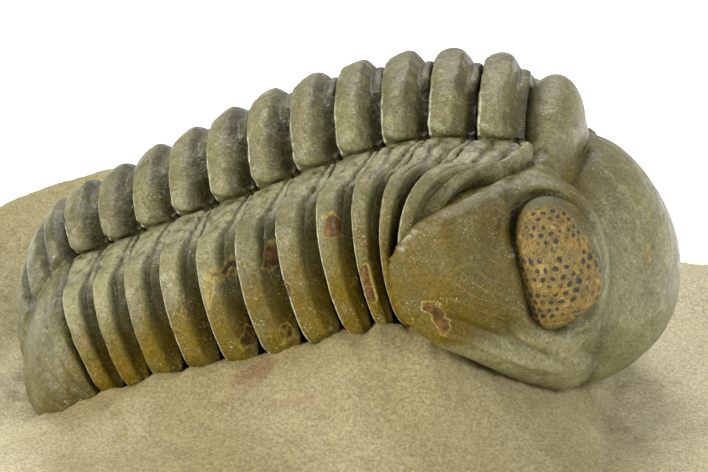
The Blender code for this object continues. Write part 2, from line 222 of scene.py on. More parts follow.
# Layers of the shell in the order that they are laid, with the sizes of their patches in millimetres.
shellLook = dict(
    dark="#4e4c2b", olive=dict(colour="#706d41", size=2.4, low=0.34, high=0.66, detail=6),
    pale="#989468", scuffs=dict(size=0.7, low=0.50, high=0.78, detail=6), scuffed=0.7,
    mottle=dict(colour="#574a2a", size=0.28, low=0.50, high=0.70, strength=0.5),
    ochre="#6c580c", soaked=dict(size=1.3, low=0.26, high=0.62, detail=5), soakedLeast=0.45,
    # Painted shade: darker olive over the pleural facets, which face away from the light.
    facetShade=dict(colour="#38371b", mark="facetShade", strength=0.32),
    worn=dict(colour="#9f9c78", mark="worn", size=0.5, low=0.30, high=0.62, detail=6),
    vein=dict(colour="#a07f42", size=2.2, low=0.50, high=0.64, strength=0.75),
    acrossCracks=(0.476, 0.345, 0.81), cracksPerMm=1.5, crackSway=2.0, swaysPerMm=0.16,
    veinEdge=(0.030, 0.008),
    rust="#52371a", rustPale=dict(colour="#7d5828", size=0.35, low=0.40, high=0.62),
    flake=(0.42, 0.62), flakeShare=0.85,
    rim=dict(colour="#9c8b42", strength=0.8), rimRise=(0.25, 0.42), rimFall=(0.62, 0.46),
    # Painted shade, near black, at segment edges, furrows, grooves and creases; then a pale painted highlight
    # along edges.
    paintedCreaseShade=dict(colour="#22210f", mark="shadeInCreases", strength=0.8),
    edgeHighlight=dict(colour="#d2d2ba", mark="edgeHighlight", size=0.35, low=0.32, high=0.52, detail=3, strength=0.85),
    grain=dict(size=0.13, low=0.36, high=0.64, darkest=0.66, lightest=1.30),
    # Tiny pale specks in patches: painted glints.
    paintedGlints=dict(colour="#e6e6d6", size=0.085, low=0.66, high=0.72, detail=1, strength=0.6),
    glintPatches=dict(size=1.2, low=0.46, high=0.62, detail=3),
    gloss=dict(size=0.5, low=0.3, high=0.7, detail=5), roughness={"To Min": 0.22, "To Max": 0.44},
    specular={"To Min": 0.45, "To Max": 0.12}, ior=1.56,
    grit={"Scale": 1 / 0.16, "Detail": 5.0, "Roughness": 0.62}, scratches={"Scale": 1 / 0.7, "Detail": 4.0},
    scratchShare=2.5, bump={"Strength": 0.8, "Distance": 0.00007})


# Calcite shell of a trilobite, air-abraded clean: dense olive grey, satin, with ochre stain where iron has
# soaked in, scuffed paler in patches and painted paler where light falls, painted shade on the facets and in
# creases, thin calcite veins along parallel cracks, rusty stone where the shell has flaked off, a painted
# highlight along edges, and tiny pale specks that are painted glints.
def calciteShell():
    look = shellLook
    material, tree, place = startMaterial("oliveCalciteShell")
    colour = layOver(tree, place, look["dark"], **look["olive"])
    # A mark of painted light: the shell paler where light falls on it.
    paintedLight = addNode(tree, "Attribute", output="Fac", attribute_name="paintedLight")
    scuffs = patches(tree, place, **look["scuffs"])
    # The pale share: real scuffs in patches, plus painted light from that mark.
    scuffed = addNode(tree, "Math", {0: scuffs, 1: look["scuffed"], 2: paintedLight}, operation="MULTIPLY_ADD")
    colour = layOver(tree, place, colour, look["pale"], shares=[scuffed])
    colour = layOver(tree, place, colour, **look["mottle"])
    soaked = patches(tree, place, **look["soaked"])
    soaked = addNode(tree, "MapRange", {"Value": soaked, "To Min": look["soakedLeast"]})
    colour = layOver(tree, place, colour, look["ochre"], mark="ochre", shares=[soaked])
    # Painted shade on the facets first, then the real wear of the inner bands.
    for layer in ("facetShade", "worn"):
        colour = layOver(tree, place, colour, **look[layer])
    # Thin calcite veins: the edges between the cells of a one-way pattern that sways a little.
    sway = addNode(tree, "TexNoise", {"Vector": place, "Scale": look["swaysPerMm"], "Detail": 2.0})
    across = addNode(tree, "VectorMath", {0: place, 1: look["acrossCracks"]}, 1, operation="DOT_PRODUCT")
    across = addNode(tree, "Math", {0: sway, 1: look["crackSway"], 2: across}, operation="MULTIPLY_ADD")
    cracks = addNode(tree, "TexVoronoi", {"W": across, "Scale": look["cracksPerMm"]},
                     voronoi_dimensions="1D", feature="DISTANCE_TO_EDGE")
    vein = easedValue(tree, cracks, *look["veinEdge"])
    colour = layOver(tree, place, colour, shares=[vein], **look["vein"])
    # Flaked patches: rusty stone inside, and the shell's own broken edge as a paler rim round it.
    broken = addNode(tree, "Attribute", output="Fac", attribute_name="broken")
    rusty = layOver(tree, place, look["rust"], **look["rustPale"])
    flake, rise, fall = (easedValue(tree, broken, *look[k]) for k in ("flake", "rimRise", "rimFall"))
    colour = layOver(tree, place, colour, rusty, look["flakeShare"], shares=[flake])
    colour = layOver(tree, place, colour, shares=[rise, fall], **look["rim"])
    # Painted shade in creases and at edges between parts, then a painted highlight along edges.
    for layer in ("paintedCreaseShade", "edgeHighlight"):
        colour = layOver(tree, place, colour, **look[layer])
    colour = grained(tree, place, colour, **look["grain"])
    # Tiny pale specks in patches: painted glints on the shell.
    glintPatches = patches(tree, place, **look["glintPatches"])
    colour = layOver(tree, place, colour, shares=[glintPatches], **look["paintedGlints"])
    gloss = patches(tree, place, **look["gloss"])
    gloss = addNode(tree, "MapRange", {"Value": gloss, **look["roughness"]})
    ochre = addNode(tree, "Attribute", output="Fac", attribute_name="ochre")
    dull = addNode(tree, "MapRange", {"Value": ochre, **look["specular"]})
    grit = addNode(tree, "TexNoise", {"Vector": place, **look["grit"]})
    scratches = addNode(tree, "TexNoise", {"Vector": place, **look["scratches"]})
    height = addNode(tree, "Math", {0: scratches, 1: look["scratchShare"], 2: grit}, operation="MULTIPLY_ADD")
    surface = {"IOR": look["ior"], "Roughness": gloss, "Specular IOR Level": dull}
    setShader(tree, colour, height, look["bump"], surface)
    return material


eyeLook = dict(
    brown="#5a4c26", ochre=dict(colour="#866c2c", size=0.8, low=0.35, high=0.65, detail=5),
    pale=dict(colour="#ab9250", size=0.35, low=0.52, high=0.72),
    orange=dict(colour="#9a6126", size=0.6, low=0.58, high=0.72, detail=3, strength=0.6),
    olive=dict(colour="#5c5c3b", size=0.7, low=0.50, high=0.68, strength=0.7),
    ring=dict(colour="#ab9250", mark="ring", strength=0.40),
    lens="#171510", lensPale=dict(colour="#3a3729", size=0.9, low=0.45, high=0.62, detail=3),
    lensCover=dict(mark="lens", size=0.9, low=0.46, high=0.54, detail=3),
    rim=dict(colour="#5c5c3b", mark="rim"),
    grain=dict(size=0.12, low=0.34, high=0.66, darkest=0.62, lightest=1.30),
    surface={"IOR": 1.56, "Roughness": 0.50, "Specular IOR Level": 0.3},
    grit={"Scale": 1 / 0.25, "Detail": 5.0, "Roughness": 0.65}, bump={"Strength": 0.9, "Distance": 0.00012})


# The eye's surface: iron-stained sclera between lenses of clear calcite, dark because light goes into them.
def lensField():
    look = eyeLook
    material, tree, place = startMaterial("ochreEyeWithCalciteLenses")
    colour = look["brown"]
    for layer in ("ochre", "pale", "orange", "olive", "ring"):
        colour = layOver(tree, place, colour, **look[layer])
    lens = layOver(tree, place, look["lens"], **look["lensPale"])
    colour = layOver(tree, place, colour, lens, **look["lensCover"])
    colour = layOver(tree, place, colour, **look["rim"])
    colour = grained(tree, place, colour, **look["grain"])
    height = addNode(tree, "TexNoise", {"Vector": place, **look["grit"]})
    setShader(tree, colour, height, look["bump"], look["surface"])
    return material


stoneLook = dict(
    tan="#a69a6d", pale=dict(colour="#b6ab82", size=6.0, low=0.36, high=0.64, detail=6),
    brown=dict(colour="#938250", size=3.0, low=0.50, high=0.72, detail=6, strength=0.6),
    rust=dict(colour="#9c7a54", size=2.2, low=0.55, high=0.75, strength=0.35),
    streakTurn=(0.3, 0.2, 0.9), streakStretch=(0.16, 1.0, 1.0),
    # Painted shade, browner before the head and along the flanks' contact; then painted light, paler at the
    # ends.
    stoneShade=dict(colour="#938250", mark="stoneShade", strength=0.8),
    stoneLight=dict(colour="#e2d8b3", mark="stoneLight"),
    stain=dict(colour="#8a5c40", mark="stain", strength=0.55),
    grain=dict(size=0.16, low=0.36, high=0.64, darkest=0.72, lightest=1.22),
    speck=dict(colour="#6a5d40", size=0.30, low=0.70, high=0.76, detail=2, strength=0.6),
    surface={"IOR": 1.5, "Roughness": 0.88, "Specular IOR Level": 0.3},
    grit={"Scale": 1 / 0.22, "Detail": 6.0, "Roughness": 0.7}, bump={"Strength": 0.9, "Distance": 0.00022})


# Fine-grained limestone, broken and then scraped round the fossil: matt, tan, mottled paler and browner, with
# faint rusty streaks and specks, and a grain of about a tenth of a millimetre.
def tanLimestone():
    look = stoneLook
    material, tree, place = startMaterial("tanLimestone")
    colour = look["tan"]
    for layer in ("pale", "brown"):
        colour = layOver(tree, place, colour, **look[layer])
    streaks = addNode(tree, "Mapping", {"Vector": place, "Rotation": look["streakTurn"],
                                        "Scale": look["streakStretch"]})
    colour = layOver(tree, streaks, colour, **look["rust"])
    # Painted shade and painted light first, then a real rusty streak.
    for layer in ("stoneShade", "stoneLight", "stain"):
        colour = layOver(tree, place, colour, **look[layer])
    colour = grained(tree, place, colour, **look["grain"])
    colour = layOver(tree, place, colour, **look["speck"])
    height = addNode(tree, "TexNoise", {"Vector": place, **look["grit"]})
    setShader(tree, colour, height, look["bump"], look["surface"])
    return material


shellMaterial = calciteShell()
eyeMaterial = lensField()
stoneMaterial = tanLimestone()
print("materials made")


# The stone's top follows the animal from tail to head, and slopes away from it. A mound is x, y, height and
# reach both ways, a wave is its two rates, phase and height, and one of the outline is count, phase and size.
stone = dict(restX=(-30.0, -16.5, -11.5, -8.7, -5.3, -2.4, 1.0, 4.8, 8.0, 10.8, 13.0, 17.0, 28.0),
             restZ=(-6.4, -7.5, -6.5, -5.2, -4.1, -3.1, -1.7, -1.5, -3.1, -5.0, -6.9, -8.0, -8.8),
             farLevel=-6.9, farSlope=-0.045, restHalf=9.5, restFall=6.5, middle=(-1.5, 0.0),
             mounds=((-12.0, 16.5, 3.8, 10.0, 4.5), (16.0, 15.0, 1.0, 5.5, 5.0),
                     (-25.0, 15.0, 1.0, 8.0, 6.0)),
             waves=((0.21, 0.13, 0.4, 0.34), (-0.16, 0.27, 1.7, 0.30), (0.43, 0.31, 2.9, 0.16),
                    (-0.52, 0.38, 5.1, 0.13)),
             squareness=3.2, outline=((2, 0.5, 0.035), (3, 2.1, 0.045), (5, 4.0, 0.025), (9, 1.2, 0.012)),
             rimDrop=0.5, topReach=0.97, undercut=0.10, sideWave=0.018, chipDepth=0.9, chipSize=6.0,
             rough=0.16, roughSize=3.1, fine=0.06, fineSize=0.55,
             contactX=(-16.5, -12.0, 4.0, 7.0), contactY=10.2, contactHalf=2.0, contactRise=1.00,
             contactRiseTail=0.40, contactRough=0.22,
             # Painted shade before the head and along where the flanks meet the stone; on the next line, a
             # rusty streak and the drift of the edge of the painted light at the ends.
             stoneShade=(13.0, -5.0), stoneShadeReach=(2.5, 5.0), stoneShadeShare=0.4, contactShade=0.8,
             streak=(-3.75, -11.35), streakWay=(0.79, 0.61), streakHalf=(1.8, 0.55), stoneLightDrift=2.2,
             columns=640, topRows=104, sideRows=28)


# Height of the stone's top: a saddle along the animal, fading with distance into a sloping plane, and on it
# mounds h exp(-(dx^2 + dy^2)) and long sine waves.
def stoneHeight(x, y):
    beyond = np.maximum(np.abs(y) - stone["restHalf"], 0) / stone["restFall"]
    near = np.exp(-beyond * beyond)
    far = stone["farLevel"] + stone["farSlope"] * x
    top = far + (np.interp(x, stone["restX"], stone["restZ"]) - far) * near
    for middleX, middleY, height, reachX, reachY in stone["mounds"]:
        top = top + height * bell(x - middleX, reachX) * bell(y - middleY, reachY)
    for kx, ky, phase, height in stone["waves"]:
        top = top + height * (1 - near) * np.sin(kx * x + ky * y + phase)
    return top


# 1 along the line where the flanks meet the stone, falling to 0 about 2 mm away from it.
def contactShare(x, y):
    return window(x, *stone["contactX"]) * bell(np.abs(y) - stone["contactY"], stone["contactHalf"])


# Seen from above the stone is a rounded oblong, |cos|^n + |sin|^n = 1, made ragged by a few sine waves.
def stoneOutline(angle):
    power = stone["squareness"]
    square = (np.abs(np.cos(angle)) ** power + np.abs(np.sin(angle)) ** power) ** (-1 / power)
    for count, phase, size in stone["outline"]:
        square = square * (1 + size * np.sin(count * angle + phase))
    outline = np.stack([np.cos(angle) * square, np.sin(angle) * square], -1)
    low, high = outline.min(0), outline.max(0)
    return (outline - low) / (high - low)


# Marks of the stone from 0 to 1: painted shade before the head and along where the flanks meet it, painted
# light at both ends, and a rusty streak.
def stoneMarks(points):
    x, y, z = points.T
    # Painted shade: browner before the head and along where the flanks meet the stone.
    (shadeX, shadeY), (reachX, reachY) = stone["stoneShade"], stone["stoneShadeReach"]
    stoneShade = stone["stoneShadeShare"] * bell(x - shadeX, reachX) * bell(y - shadeY, reachY)
    stoneShade = limit(stoneShade + stone["contactShade"] * contactShare(x, y) ** 2 * (z > -9))
    # Painted light: the stone paler at the end by the head and at the tail end, near the top.
    drift = stone["stoneLightDrift"] * noise(points, 5.0, 4, 71)
    stoneLight = ease(8.5, 17.5, x + 0.25 * y + drift)                     # the end by the head
    stoneLight = stoneLight + 0.9 * ease(-10.5, -19.0, x + drift) * ease(4.0, -5.0, y + drift)
    stoneLight = stoneLight * ease(-17.0, -9.0, z + drift)                   # only near the top
    dx, dy = x - stone["streak"][0], y - stone["streak"][1]
    wayX, wayY = stone["streakWay"]
    alongHalf, acrossHalf = stone["streakHalf"]
    streak = bell(dx * wayX + dy * wayY, alongHalf) * bell(dy * wayX - dx * wayY, acrossHalf)
    stain = ease(0.30, 0.95, streak * (1 + 0.8 * noise(points, 0.7, 4, 61, 0.6)))
    return {"stoneShade": stoneShade, "stoneLight": stoneLight, "stain": stain}


# The stone on a polar grid: rings run out over the top to its edge, down its broken sides and under its base.
def makeStone():
    angle = 2 * np.pi * np.arange(stone["columns"]) / stone["columns"]
    low, high = np.array(stoneSize["low"][:2]), np.array(stoneSize["high"])
    edge = low + stoneOutline(angle) * (high - low)
    middle = np.array(stone["middle"])
    share = (np.arange(1, stone["topRows"] + 1) / stone["topRows"])[:, None]
    spot = middle + (edge - middle)[None] * (share * stone["topReach"])[..., None]
    flat = np.concatenate([spot, np.zeros(spot.shape[:2] + (1,))], -1)
    height = stoneHeight(spot[..., 0], spot[..., 1]) - stone["rimDrop"] * share ** 14
    contact = contactShare(spot[..., 0], spot[..., 1])
    rough = stone["rough"] * noise(flat, stone["roughSize"], 5, 11)
    rough = rough + stone["fine"] * noise(flat, stone["fineSize"], 3, 31, 0.6)
    contactRise = stone["contactRise"] + stone["contactRiseTail"] * ease(-3.0, -7.0, spot[..., 0])
    rough = rough + contact * (contactRise + stone["contactRough"] * noise(flat, 1.2, 3, 41))
    top = np.concatenate([spot, (height + rough)[..., None]], -1)
    down = (np.arange(1, stone["sideRows"] + 1) / stone["sideRows"])[:, None]
    inward = 1 - stone["undercut"] * down ** 1.5 + stone["sideWave"] * np.sin(7 * angle + 9.2 * down)
    inward = stone["topReach"] + (np.minimum(inward, 1.0) - stone["topReach"]) * ease(0, 0.12, down)
    side = middle + (edge - middle)[None] * inward[..., None]
    sideZ = top[-1, :, 2] + (stoneSize["low"][2] - top[-1, :, 2]) * down
    side = np.concatenate([side, sideZ[..., None]], -1)
    chips = stone["chipDepth"] * noise(side, stone["chipSize"], 6, 51, 0.55)
    chips = chips * np.sin(np.pi * np.clip(down, 0, 0.97)) ** 0.4
    push = np.stack([np.cos(angle), np.sin(angle), 0 * angle], -1)
    side = side - push[None] * np.abs(chips)[..., None]
    rings = np.concatenate([top, side])
    rows, columns = rings.shape[:2]
    ends = np.array([[*middle, top[0, :, 2].mean()], [*middle, stoneSize["low"][2]]])
    points = np.concatenate([rings.reshape(-1, 3), ends])
    around = np.arange(columns)
    fan = np.stack([np.full(columns, rows * columns), around, (around + 1) % columns], -1)
    last = (rows - 1) * columns
    base = [np.full(columns, rows * columns + 1), last + (around + 1) % columns, last + around]
    base = np.stack(base, -1)
    faces = gridQuads(rows, columns, wrapColumns=True)[:, ::-1].tolist() + fan.tolist() + base.tolist()
    makePiece("matrixStone", points, faces, stoneMaterial, ["matrix"], stoneMarks(points))


# The trunk is read at stations counted in segments from the back of the head.
trunk = dict(stations=(0, 2, 4, 6, 8, 11), crestX=(8.7, 3.9, -0.75, -5.05, -8.95, -14.35),
             crestZ=(8.5, 8.86, 7.9, 6.2, 4.05, 1.05), tilt=(-2, 4, 13, 17, 20, 33),
             ringHeight=(1.75, 2.15, 2.5, 2.65, 2.15, 1.75), axisHalf=(4.5, 4.5, 4.4, 4.25, 3.95, 3.2),
             bendHalf=(7.0, 7.0, 7.0, 6.9, 6.6, 6.0), half=(9.8, 10.1, 10.25, 10.2, 10.1, 9.6),
             depth=(9.2, 9.6, 9.6, 9.2, 8.0, 7.0), bendDrop=0.55, turn=100.0, sweep=1.15, sweepFront=4.4,
             sweepReach=1.9, sweepTail=0.4, sweepEnd=0.3, slant=0.5, slantFront=0.9, slantReach=2.5, curl=1.2,
             curlFront=1.2, ringShare=0.42, bendShare=0.60, tipTaper=0.10)


# Smooth curve through values at the stations: a cubic between each pair, with finite-difference slopes.
def along(values, station):
    knots, values = np.array(trunk["stations"], float), np.array(values, float)
    slopes = np.gradient(values, knots)
    cell = np.clip(np.searchsorted(knots, station, side="right") - 1, 0, len(knots) - 2)
    width = knots[cell + 1] - knots[cell]
    u = (station - knots[cell]) / width
    start = (1 + 2 * u) * (1 - u) ** 2 * values[cell] + u * (1 - u) ** 2 * width * slopes[cell]
    end = u * u * (3 - 2 * u) * values[cell + 1] - u * u * (1 - u) * width * slopes[cell + 1]
    return start + end


# The trunk's smooth skin at a station and a share t across, -1 to 1: an elliptic ring arch, a flat upper
# flank that slants tailwards, and a quarter-turn lower flank that sweeps back, in a cross-section that leans.
def trunkSkin(station, t):
    size = np.abs(t)
    axisHalf, bendHalf, half = (along(trunk[k], station) for k in ("axisHalf", "bendHalf", "half"))
    ring, depth = along(trunk["ringHeight"], station), along(trunk["depth"], station)
    turn = limit(size / trunk["ringShare"]) * np.pi / 2
    upper = limit((size - trunk["ringShare"]) / (trunk["bendShare"] - trunk["ringShare"]))
    lower = limit((size - trunk["bendShare"]) / (1 - trunk["bendShare"]))
    bend = np.radians(trunk["turn"]) * lower
    width = axisHalf * np.sin(turn) + (bendHalf - axisHalf) * upper + (half - bendHalf) * np.sin(bend)
    flank = (1 - np.cos(bend)) / (1 - np.cos(np.radians(trunk["turn"])))
    fall = ring * (1 - np.cos(turn)) + trunk["bendDrop"] * upper ** 2
    fall = fall + (depth - ring - trunk["bendDrop"]) * flank
    behindHead = np.exp(-((np.maximum(station, 0) / trunk["sweepReach"]) ** 1.5))
    sweep = trunk["sweep"] + trunk["sweepFront"] * behindHead
    sweep = sweep - trunk["sweepTail"] * ease(6.0, 8.0, station)
    sweep = sweep - trunk["sweepEnd"] * ease(9.5, 11.0, station)
    curl = trunk["curl"] * (1 - station / 9) + trunk["curlFront"] * np.exp(-station / 1.5)
    slant = trunk["slant"] + trunk["slantFront"] * np.exp(-np.maximum(station, 0) / trunk["slantReach"])
    bow = -slant * upper - (sweep - slant) * np.sin(bend) ** 0.8 + curl * lower ** 2.5
    lean = np.radians(along(trunk["tilt"], station))
    x = along(trunk["crestX"], station) + np.sin(lean) * fall + np.cos(lean) * bow
    z = along(trunk["crestZ"], station) - np.cos(lean) * fall + np.sin(lean) * bow
    return np.stack([x, width * np.sign(t), z], -1)


# f runs from a segment's front edge (0) to its back edge (1), and size from the crest (0) to the tips (1).
segment = dict(count=11, across=370, along=46, gap=0.035, flankGap=0.03, wall=0.9, furrowAt=0.24,
               ringRelief=0.62, halfRing=0.16, halfRingReach=0.16, tuck=0.50, swelling=0.22, notch=0.28,
               innerRelief=0.14, facetSlope=0.62, bandRelief=0.40, furrowDepth=0.20, roughness=0.055,
               wobble=0.035, tipFrom=0.955, tipWidth=0.10, flakeDepth=0.08, innerRough=0.035,
               ribbed=3, grooveAt=(0.62, 0.28), grooveSlant=0.5, grooveHalf=0.05, grooveDepth=0.12,
               # The last two on the next line: segments past which the bands get more painted light; past the
               # first of them the ochre stain also starts lower.
               underHead=0.35, underHeadFill=0.40, paleFrom=5, palestFrom=8)


# Where the raised band of a pleura begins: further back outwards.
def bandFront(size):
    return 0.22 + 0.22 * ease(0.44, 0.74, size) - 0.10 * ease(0.84, 1.0, size)


# Height of the axis: a low half ring, then a furrow, then the ring, steep in front and swollen at its ends.
def ringRelief(f, size):
    backEdge = np.sqrt(limit(1 - (limit(f - 0.82) / 0.18) ** 2))
    swell = 1 + segment["swelling"] * bell(size - 0.345, 0.04)
    body = segment["ringRelief"] * (1 - 0.20 * ease(0.60, 1, f)) * (0.60 + 0.40 * backEdge) * swell
    steep = ease(segment["furrowAt"], 0.46, f) ** 0.8
    halfRing = segment["halfRing"] * np.sqrt(limit(1 - (2 * f / segment["furrowAt"] - 1) ** 2))
    crest = body * steep + halfRing * (f < segment["furrowAt"])
    slope = ease(-0.06, 0.52, f)
    side = (body * (1.08 - 2.4 * (f - 0.70) ** 2) + segment["tuck"]) * slope - segment["tuck"]
    return crest + (side - crest) * ease(0.06, segment["halfRingReach"], size)


# Height of the flank: a furrow runs obliquely out and back to a smooth facet that slopes up from the front,
# and behind both is a raised band.
def flankRelief(f, size):
    front = bandFront(size)
    outer = ease(trunk["bendShare"] - 0.06, trunk["bendShare"] + 0.14, size)
    slope = -segment["facetSlope"] * outer * limit(1 - f / front)
    slope = slope * (1 - 0.8 * ease(0.90, 1.0, size))
    place = limit((f - front) / (1 - front))
    onBand = ease(-0.05, 0.04, f - front)
    inFront = (1 - outer) * limit(1 - (f / front - 0.5) ** 2 * 4) ** 0.5
    band = onBand * (0.60 + 0.40 * np.sin(np.pi * (0.14 + 0.74 * place)) ** 0.8)
    band = band + 0.8 * (1 - onBand) * inFront
    height = segment["innerRelief"] + (segment["bandRelief"] - segment["innerRelief"]) * outer
    furrow = segment["furrowDepth"] * bell(f - front + 0.05, 0.05) * (1 - ease(0.70, 0.85, size))
    edge = limit(1 - np.abs(2 * f - 1) ** 16) ** 0.5
    return (slope + height * band * edge - furrow) * (1 - 0.6 * ease(0.94, 1.0, size))


# Height of a segment above the trunk's skin: ring and flank beside a notch that is deeper by the joints.
def segmentRelief(f, size):
    end = trunk["ringShare"] - 0.005 - 0.035 * np.abs(2 * f - 0.9) ** 2.2
    onRing = 1 - ease(end - 0.03, end, size)
    nearJoint = bell(f, 0.22) + bell(1 - f, 0.10)
    notch = segment["notch"] * bell(size - trunk["ringShare"], 0.018) * (0.35 + nearJoint)
    return onRing * ringRelief(f, size) + (1 - onRing) * flankRelief(f, size) - notch


# Where the shell has flaked off the lower flank: patches in which a noise passes a level.
def flaked(p, station, size):
    zone = window(size, 0.68, 0.78, 0.93, 0.99) * window(station, 2.0, 3.0, 6.0, 7.4)
    return zone * ease(0.12, 0.62, noise(p * (1.3, 1.0, 0.7), 1.3, 4, 404, 0.45))


# Oblique grooves across the inner flank of the first segments: one on each, and a second one on the first.
def ribGrooves(number, f, size):
    onRibs = window(size, 0.43, 0.47, 0.60, 0.74) * (number < segment["ribbed"])
    places = segment["grooveAt"] if number == 0 else segment["grooveAt"][:1]
    slant = segment["grooveSlant"] * (size - 0.5)
    return onRibs * sum(bell(f - place + slant, segment["grooveHalf"]) for place in places)


# The grid of a segment, closest by its edges and tips: f, t and the station of its points.
def segmentGrid(number):
    u = np.linspace(0, 1, segment["along"])
    v = np.linspace(-1, 1, segment["across"])
    f, t = np.meshgrid(u - np.sin(2 * np.pi * u) * 0.11, 1.35 * v - 0.35 * v ** 3, indexing="ij")
    size = np.abs(t)
    lower = limit((size - trunk["bendShare"]) / (1 - trunk["bendShare"]))
    beyond = limit(size - segment["tipFrom"]) / (1 - segment["tipFrom"])
    tip = np.sqrt(limit(1 - beyond ** 2))
    narrow = (1 - trunk["tipTaper"] * lower ** 4) * (segment["tipWidth"] + (1 - segment["tipWidth"]) * tip)
    onInner = window(size, 0.40, 0.44, 0.54, 0.62)
    gap = segment["gap"] * (1 - 0.7 * onInner) + segment["flankGap"] * lower
    wobble = np.stack([9.0 * number + 0 * t, 16 * t, 0 * t], -1)
    wobble = segment["wobble"] * noise(wobble, 0.6, 3, 90)
    station = number + 0.5 + (f - 0.5) * (1 - gap) * narrow + wobble * (0.3 + 0.7 * onInner)
    if number == 0:  # its flanks reach under the border of the head
        station = station - segment["underHead"] * (1 - f) * ease(0.42, 0.47, size)
    return f, t, station


# What the material reads on a segment, each from 0 to 1: painted shade on the facets and at the edges,
# furrows and grooves, painted light on the bands by the bend and on the back of the rings, and a painted
# highlight along the back edge.
def segmentMarks(number, f, size, chips, grooves):
    first = number == 0
    onRing = 1 - ease(0.38, 0.42, size)
    outer = ease(0.58, 0.66, size)
    edge = (1 - ease(0.0, 0.10, f)) + ease(0.985, 1.0, f)
    edge = edge * np.maximum(onRing, 0.35 + 0.65 * outer) * (1 - 0.5 * first)
    furrow = onRing * (1 - ease(0.08, 0.36, f)) * ease(0.05, 0.14, size)
    front = bandFront(size)
    # Painted shade on the facets of the flanks, less under the head's border and near the tips.
    facetShade = limit(outer + ease(0.46, 0.56, size) * ease(0.5, 0.9, f / front))
    facetShade = facetShade * (1 - ease(-0.05, 0.02, f - front)) * (1 - 0.75 * ease(0.78, 0.96, size))
    facetShade = facetShade * (1 - 0.6 * first)
    # Painted light: the bands by the bend paler, more so on the last segments, and the back of each ring
    # paler as a painted sheen.
    bend = 0.30 + 0.32 * (number > segment["paleFrom"]) + 0.35 * (number > segment["palestFrom"])
    bend = bend * window(size, 0.58, 0.66, 0.72, 0.86) * (1 - facetShade)
    ring = (0.25 + 0.14 * (2 < number < 8)) * onRing * ease(0.42, 0.55, f)
    stainFrom = 0.68 + 0.05 * (number > segment["paleFrom"])
    return {"ochre": ease(stainFrom, 0.92, size) * 0.95 + 0.12,
            "worn": 0.75 * window(size, 0.40, 0.46, 0.56, 0.66),
            # Painted shade at the front and back edges, in the ring's front furrow and in the grooves.
            "shadeInCreases": limit(edge + 0.45 * furrow + 0.7 * grooves),
            "broken": chips, "paintedLight": bend + ring, "facetShade": facetShade,
            # A painted highlight along the back edge of rings and flanks, broken into dashes.
            "edgeHighlight": bell(f - 0.96, 0.020) * np.maximum(onRing * ease(0.10, 0.25, size), 0.8 * outer)}


# A segment: the trunk's skin pushed out along its normal by the relief, and closed by a plain under side.
def makeSegment(number):
    f, t, station = segmentGrid(number)
    size = np.abs(t)
    skin = trunkSkin(station, t)
    normal = gridNormals(skin)
    normal *= np.sign(normal[:, segment["across"] // 2, 2].mean())
    chips = flaked(skin, station, size)
    grooves = ribGrooves(number, f, size)
    relief = segmentRelief(f, size) - segment["flakeDepth"] * ease(0.40, 0.60, chips)
    inner = window(size, 0.40, 0.44, 0.54, 0.62) * noise(skin, 0.8, 3, 77, 0.6)
    relief = relief + segment["innerRough"] * inner - segment["grooveDepth"] * grooves
    if number == 0:  # fills most of the facet behind the head's border
        fill = window(size, 0.50, 0.60, 0.74, 0.86) * limit(1 - f / bandFront(size))
        relief = relief + segment["underHeadFill"] * fill
    bumps = segment["roughness"] * noise(skin, 1.1, 4, 100 + number, 0.6)
    relief = relief + bumps * ease(0, 0.25, f * (1 - f) * 4)
    top = skin + normal * relief[..., None]
    under = skin[[0, -1]] - normal[[0, -1]] * segment["wall"]
    grid = np.concatenate([under[:1], top, under[1:]])
    marks = segmentMarks(number, *(withEnds(values) for values in (f, size, chips, grooves)))
    makePiece(f"thoraxSegment{number + 1:02d}", grid, tubeFaces(*grid.shape[:2]), shellMaterial,
              [f"thorax_segment_{number + 1:02d}"], marks)


tail = dict(back=(-16.0, -7.2), corner=(-12.2, -6.2), bulge=1.35, narrowing=2.0, heart=(-10.0, 0.0, -3.0),
            rows=110, across=320, rings=5, ringRelief=0.34, ribRelief=0.06, wall=0.8, axisRise=0.30,
            step=0.40, sink=0.2, roughness=0.05)


